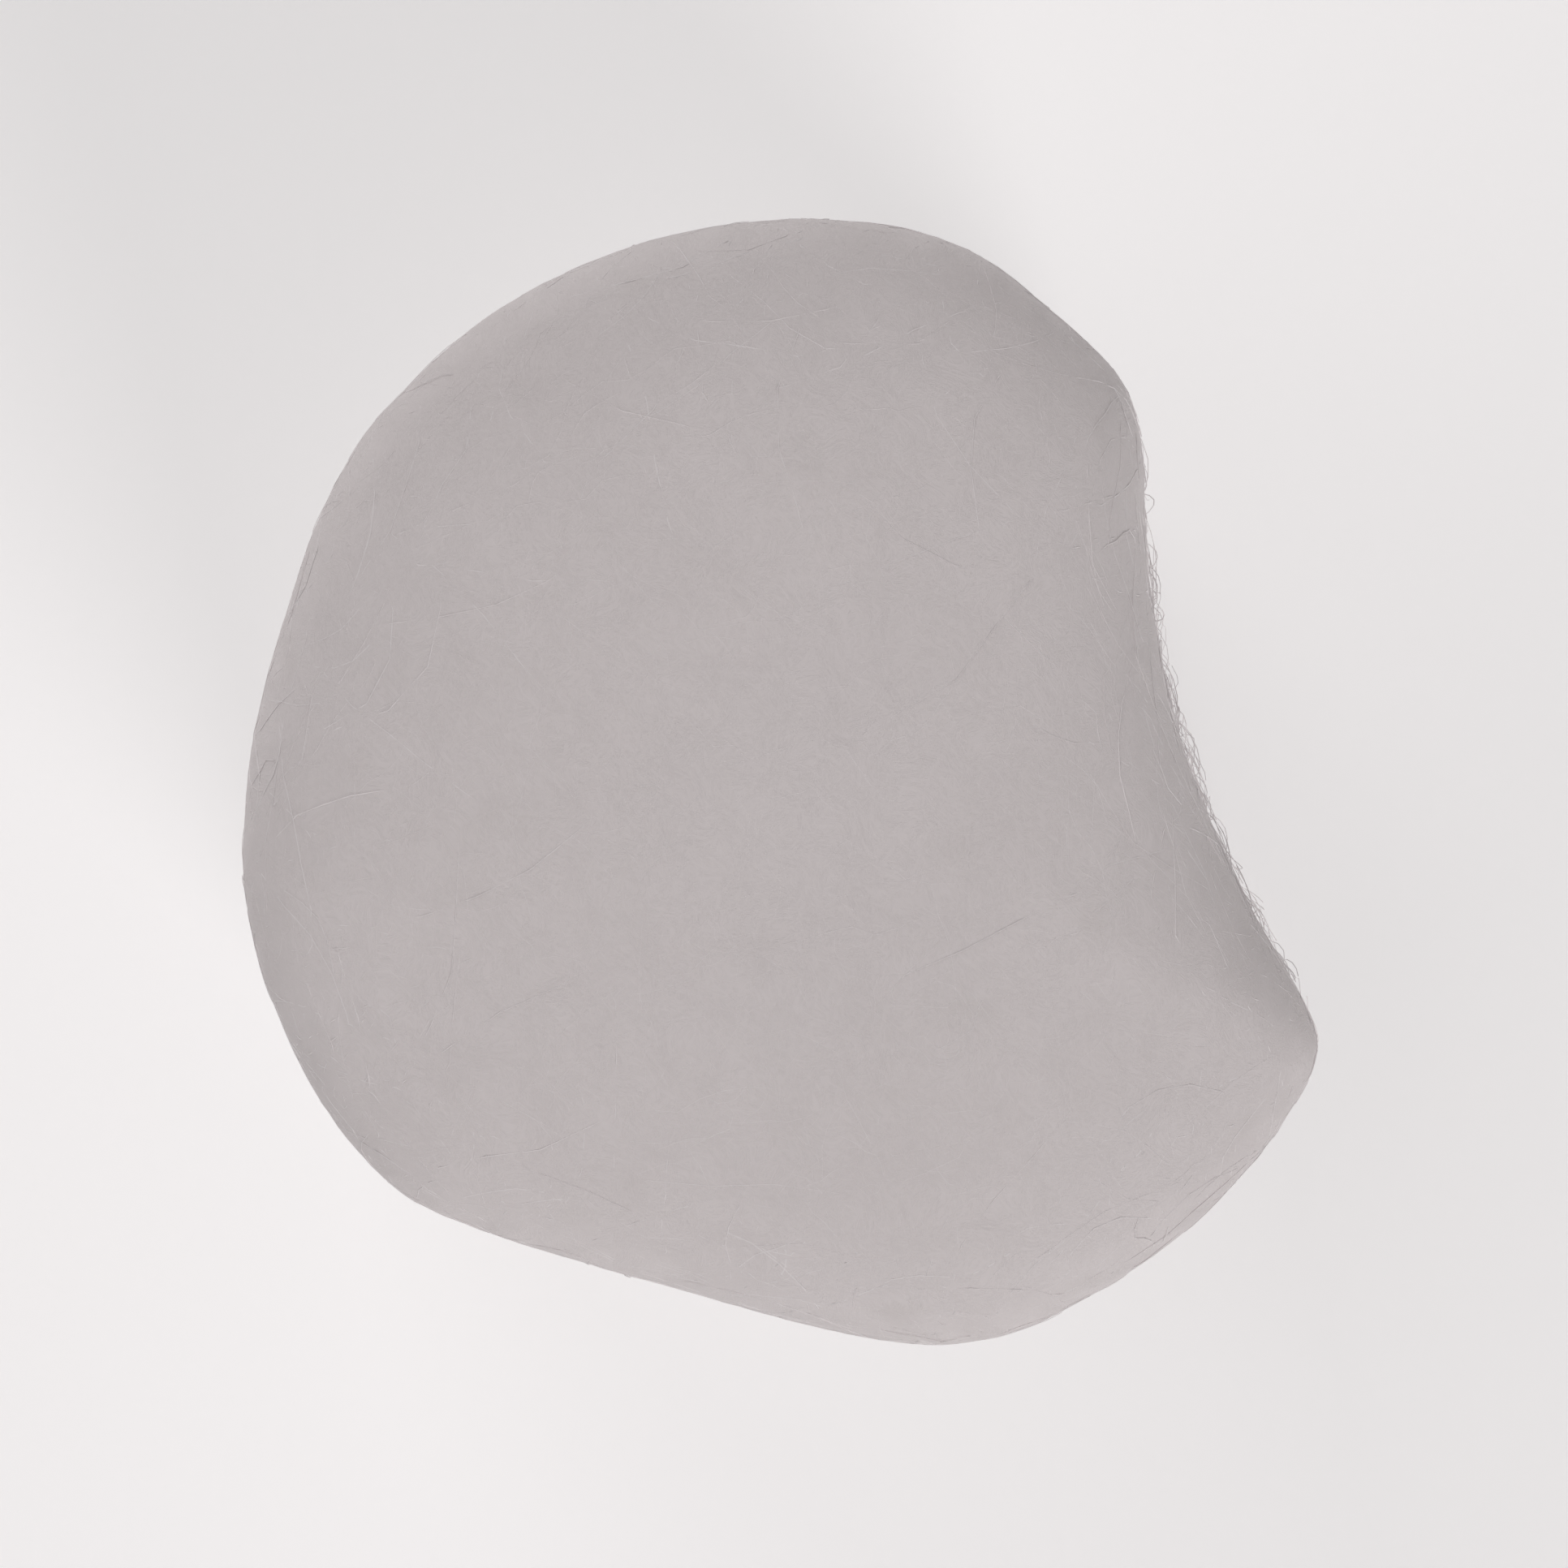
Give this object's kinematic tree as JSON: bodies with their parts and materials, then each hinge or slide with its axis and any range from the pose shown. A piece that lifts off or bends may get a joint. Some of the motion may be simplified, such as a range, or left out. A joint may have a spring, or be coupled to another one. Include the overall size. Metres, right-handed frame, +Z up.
{
  "type": "dental cotton roll",
  "caption": "Short soft roll of cotton with padded ends, pressed a little out of round, standing on its end.",
  "frame": {"origin": "middle of the roll's outline, at the flat of the end that it stands on", "axes": "+Z up along the roll, +X towards the pressed hollow in its side"},
  "size_m": [0.0102, 0.0106, 0.038],
  "materials": {
    "cotton": "matt bleached cotton with fine loose fibres"
  },
  "bodies": {
    "root": {"cotton_roll": "cotton"}
  },
  "joints": []
}
